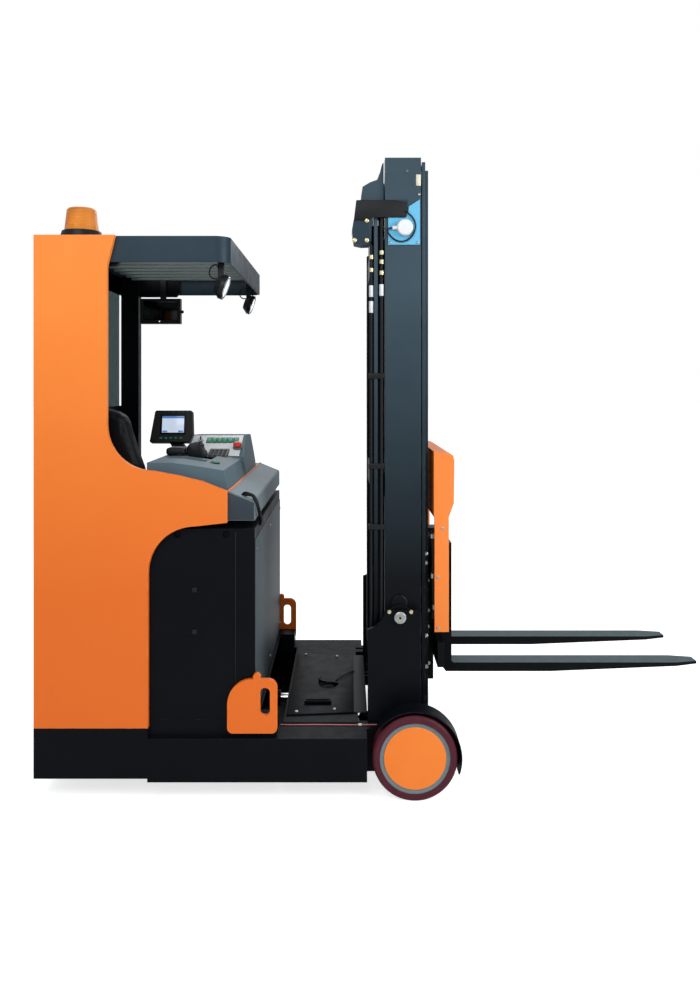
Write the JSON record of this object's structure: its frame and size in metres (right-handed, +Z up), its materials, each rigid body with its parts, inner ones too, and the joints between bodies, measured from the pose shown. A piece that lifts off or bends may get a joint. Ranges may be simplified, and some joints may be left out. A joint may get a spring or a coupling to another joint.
{
  "type": "reach truck",
  "caption": "Electric reach truck with side-seated cab, overhead guard, sliding mast carriage, three-stage telescopic mast and forks, standing on support legs with load wheels.",
  "frame": {"origin": "middle of the footprint at floor level", "axes": "+X forward along the forks, +Y to the side that the operator faces, +Z up"},
  "size_m": [2.74, 1.27, 2.547],
  "materials": {
    "painted_black": "semi-gloss powder coat",
    "painted_orange": "gloss powder coat",
    "painted_blue_grey": "semi-gloss paint",
    "bar_grey": "matt paint",
    "hood_plastic": "fine grain moulding",
    "console_plastic": "fine grain moulding",
    "black_plastic": "fine grain moulding",
    "seat_vinyl": "grained vinyl",
    "tyre_polyurethane": "cast polyurethane",
    "drive_tyre": "cast polyurethane",
    "window_glass": "clear",
    "amber_lens": "clear amber moulding",
    "chromed_rod": "hard chrome",
    "chain_steel": "oiled steel",
    "worn_steel": "worn black paint",
    "sensor_blue": "matt paint"
  },
  "bodies": {
    "chassis": {"chassis": "painted_black", "side_panel": "painted_orange", "rear_cover": "painted_orange", "cab_frame": "painted_black", "seat_base": "painted_black", "seat_cushion": "seat_vinyl", "backrest": "seat_vinyl", "battery": "painted_black", "battery_locks": "painted_orange", "hood": "hood_plastic", "console": "console_plastic", "console_controls": "black_plastic", "display": "black_plastic", "guard_frame": "painted_blue_grey", "guard_bars": "bar_grey", "rear_posts": "painted_black", "rear_window": "window_glass", "work_lamps": "black_plastic", "beacon_base": "black_plastic", "beacon_lens": "amber_lens", "monitor": "black_plastic", "fenders": "painted_black", "reach_barrel": "painted_black"},
    "steering_wheel": {"steering_wheel": "black_plastic"},
    "load_wheel_near": {"load_tyre_near": "tyre_polyurethane", "load_hub_near": "painted_orange"},
    "load_wheel_far": {"load_tyre_far": "tyre_polyurethane", "load_hub_far": "painted_orange"},
    "drive_unit": {"drive_unit": "worn_steel"},
    "drive_wheel": {"drive_wheel": "drive_tyre"},
    "reach_carriage": {"carriage": "painted_black", "reach_rod": "chromed_rod"},
    "tilt_barrels": {"tilt_barrels": "painted_black"},
    "tilt_rods": {"tilt_rods": "chromed_rod"},
    "mast_outer": {"mast_outer": "painted_blue_grey", "lift_barrels": "painted_black", "mast_valve": "painted_blue_grey", "sensor_plate": "sensor_blue"},
    "mast_mid": {"mast_mid": "painted_blue_grey", "lift_rods": "chromed_rod", "lift_chains": "chain_steel"},
    "mast_inner": {"mast_inner": "painted_blue_grey", "free_lift_barrel": "painted_black"},
    "free_lift": {"free_lift_head": "worn_steel", "carriage_chains": "chain_steel"},
    "fork_carriage": {"fork_carriage": "painted_black", "fork_fairing": "painted_orange", "forks": "worn_steel"}
  },
  "joints": [
    {"name": "load_wheel_near_spin", "type": "hinge", "parent": "chassis", "child": "load_wheel_near", "pos_m": [0.108, -0.59, 0.165], "axis": [0, 1, 0], "continuous": true},
    {"name": "load_wheel_far_spin", "type": "hinge", "parent": "chassis", "child": "load_wheel_far", "pos_m": [0.108, 0.59, 0.165], "axis": [0, 1, 0], "continuous": true},
    {"name": "drive_steer", "type": "hinge", "parent": "chassis", "child": "drive_unit", "pos_m": [-1.16, 0, 0.384], "axis": [0, 0, 1], "range_deg": [-90, 90]},
    {"name": "drive_wheel_spin", "type": "hinge", "parent": "drive_unit", "child": "drive_wheel", "pos_m": [-1.16, 0, 0.1715], "axis": [0, 1, 0], "continuous": true},
    {"name": "steering", "type": "hinge", "parent": "chassis", "child": "steering_wheel", "pos_m": [-1.205, 0.195, 1.14], "axis": [0, 0, 1], "range_deg": [-450, 450]},
    {"name": "reach", "type": "slide", "parent": "chassis", "child": "reach_carriage", "axis": [1, 0, 0], "range_m": [-0.35, 0]},
    {"name": "mast_tilt", "type": "hinge", "parent": "reach_carriage", "child": "mast_outer", "pos_m": [0.059, 0, 0.674], "axis": [0, 1, 0], "range_deg": [-4, 2]},
    {"name": "tilt_barrel_swing", "type": "hinge", "parent": "reach_carriage", "child": "tilt_barrels", "pos_m": [-0.35, 0, 0.17], "axis": [0, 1, 0], "range_deg": [-1.2, 2.2]},
    {"name": "tilt_rod_slide", "type": "slide", "parent": "tilt_barrels", "child": "tilt_rods", "axis": [1, 0, 0], "range_m": [-0.0185, 0.037]},
    {"name": "mid_lift", "type": "slide", "parent": "mast_outer", "child": "mast_mid", "axis": [0, 0, 1], "range_m": [0, 1.75]},
    {"name": "inner_lift", "type": "slide", "parent": "mast_mid", "child": "mast_inner", "axis": [0, 0, 1], "range_m": [0, 1.75]},
    {"name": "fork_lift", "type": "slide", "parent": "mast_inner", "child": "fork_carriage", "axis": [0, 0, 1], "range_m": [-0.3, 1.4]},
    {"name": "free_lift", "type": "slide", "parent": "mast_inner", "child": "free_lift", "axis": [0, 0, 1], "range_m": [-0.15, 0.7]}
  ],
  "couplings": [
    {"joint": "steering", "follows": "drive_steer", "ratio": 5},
    {"joint": "tilt_barrel_swing", "follows": "mast_tilt", "ratio": -0.5},
    {"joint": "tilt_rod_slide", "follows": "mast_tilt", "m_per_rad": -0.504},
    {"joint": "inner_lift", "follows": "mid_lift", "ratio": 1},
    {"joint": "free_lift", "follows": "fork_lift", "ratio": 0.5}
  ]
}
